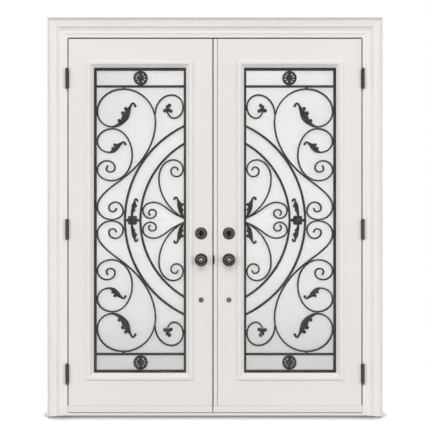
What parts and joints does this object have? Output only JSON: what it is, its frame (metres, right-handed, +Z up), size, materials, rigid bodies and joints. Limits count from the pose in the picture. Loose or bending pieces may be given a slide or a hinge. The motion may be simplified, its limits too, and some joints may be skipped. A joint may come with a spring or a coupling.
{
  "type": "steel entry door",
  "caption": "Double steel entry door in a cased frame: glazed leaves with wrought-iron scroll grilles, ball knobs, thumbturns, pull grips, astragal and sill.",
  "frame": {"origin": "on the floor, under the middle of the opening, in the plane of the leaves' room face", "axes": "+X to the right along the wall seen from the room, +Y from the room to the outside, +Z up"},
  "size_m": [1.792, 0.218, 2.1345],
  "materials": {
    "leaf_paint": "satin white paint on sheet steel",
    "leaf_paint_astragal": "satin white paint",
    "lite_frame": "moulded, painted to match the leaf",
    "sweep": "satin white",
    "frame_paint": "satin white paint on timber",
    "timber": "raw softwood",
    "foam": "rigid foam",
    "glass": "clear insulating glass",
    "spacer": "mill finish",
    "grille_iron": "wrought iron, black satin coat",
    "bronze": "oil-rubbed dark bronze",
    "lock_steel": "satin",
    "sill_metal": "mill finish",
    "seal_rubber": "matt"
  },
  "bodies": {
    "frame": {"left_jamb": "frame_paint", "right_jamb": "frame_paint", "head_jamb": "frame_paint", "left_casing": "frame_paint", "right_casing": "frame_paint", "head_casing": "frame_paint", "threshold": "sill_metal", "frame_seals": "seal_rubber", "hinge_frame_plates": "bronze", "hinge_pins": "bronze"},
    "active_leaf": {"active_inner_skin": "leaf_paint", "active_outer_skin": "leaf_paint", "active_edge_frame": "timber", "active_core": "foam", "active_lite_inner_frame": "lite_frame", "active_lite_outer_frame": "lite_frame", "active_inner_pane": "glass", "active_outer_pane": "glass", "active_spacer": "spacer", "active_grille": "grille_iron", "active_sweep": "sweep", "active_hinge_plates": "bronze", "active_turn_rose": "bronze", "active_knob_rose": "bronze", "active_lower_cap": "bronze", "active_grip": "bronze", "active_cylinder": "bronze", "latch_case": "lock_steel", "bolt_case": "lock_steel"},
    "inactive_leaf": {"inactive_inner_skin": "leaf_paint", "inactive_outer_skin": "leaf_paint", "inactive_edge_frame": "timber", "inactive_core": "foam", "inactive_lite_inner_frame": "lite_frame", "inactive_lite_outer_frame": "lite_frame", "inactive_inner_pane": "glass", "inactive_outer_pane": "glass", "inactive_spacer": "spacer", "inactive_grille": "grille_iron", "inactive_sweep": "sweep", "inactive_hinge_plates": "bronze", "inactive_turn_rose": "bronze", "inactive_knob_rose": "bronze", "inactive_lower_cap": "bronze", "inactive_grip": "bronze", "inactive_cylinder": "bronze", "astragal": "leaf_paint_astragal", "astragal_seal": "seal_rubber", "strike_plates": "bronze"},
    "active_turn": {"active_turn": "bronze"},
    "active_knob": {"active_knob": "bronze"},
    "key_plug": {"key_plug": "lock_steel"},
    "thumb_lever": {"thumb_lever": "bronze"},
    "latch": {"latch": "lock_steel"},
    "bolt": {"bolt": "lock_steel"},
    "inactive_turn": {"inactive_turn": "bronze"},
    "inactive_knob": {"inactive_knob": "bronze"},
    "flush_bolt_top": {"flush_bolt_top": "lock_steel"},
    "flush_bolt_bottom": {"flush_bolt_bottom": "lock_steel"}
  },
  "joints": [
    {"name": "active_leaf_swing", "type": "hinge", "parent": "frame", "child": "active_leaf", "pos_m": [-0.79475, -0.01, 1], "axis": [0, 0, 1], "range_deg": [-160, 0]},
    {"name": "inactive_leaf_swing", "type": "hinge", "parent": "frame", "child": "inactive_leaf", "pos_m": [0.79475, -0.01, 1], "axis": [0, 0, 1], "range_deg": [0, 160]},
    {"name": "active_turn_turn", "type": "hinge", "parent": "active_leaf", "child": "active_turn", "pos_m": [-0.0745, 0, 0.9795], "axis": [0, 1, 0], "range_deg": [0, 90]},
    {"name": "bolt_slide", "type": "slide", "parent": "active_leaf", "child": "bolt", "axis": [1, 0, 0], "range_m": [0, 0.02]},
    {"name": "active_knob_turn", "type": "hinge", "parent": "active_leaf", "child": "active_knob", "pos_m": [-0.0745, 0, 0.837], "axis": [0, 1, 0], "range_deg": [-60, 0]},
    {"name": "latch_slide", "type": "slide", "parent": "active_leaf", "child": "latch", "axis": [1, 0, 0], "range_m": [0, 0.012]},
    {"name": "key_plug_turn", "type": "hinge", "parent": "active_leaf", "child": "key_plug", "pos_m": [-0.0745, 0.05, 0.9795], "axis": [0, 1, 0], "range_deg": [0, 90]},
    {"name": "thumb_lever_press", "type": "hinge", "parent": "active_leaf", "child": "thumb_lever", "pos_m": [-0.0745, 0.0485, 0.841], "axis": [1, 0, 0], "range_deg": [-15, 0], "stiffness_Nm_per_rad": 0.1, "springref_deg": 20.05},
    {"name": "inactive_turn_turn", "type": "hinge", "parent": "inactive_leaf", "child": "inactive_turn", "pos_m": [0.0745, 0, 0.9795], "axis": [0, 1, 0], "range_deg": [0, 90]},
    {"name": "inactive_knob_turn", "type": "hinge", "parent": "inactive_leaf", "child": "inactive_knob", "pos_m": [0.0745, 0, 0.837], "axis": [0, 1, 0], "range_deg": [-60, 60]},
    {"name": "flush_bolt_top_slide", "type": "slide", "parent": "inactive_leaf", "child": "flush_bolt_top", "axis": [0, 0, 1], "range_m": [0, 0.016]},
    {"name": "flush_bolt_bottom_slide", "type": "slide", "parent": "inactive_leaf", "child": "flush_bolt_bottom", "axis": [0, 0, -1], "range_m": [0, 0.016]}
  ],
  "couplings": [
    {"joint": "bolt_slide", "follows": "active_turn_turn", "m_per_rad": 0.01273},
    {"joint": "latch_slide", "follows": "active_knob_turn", "m_per_rad": -0.01145}
  ]
}
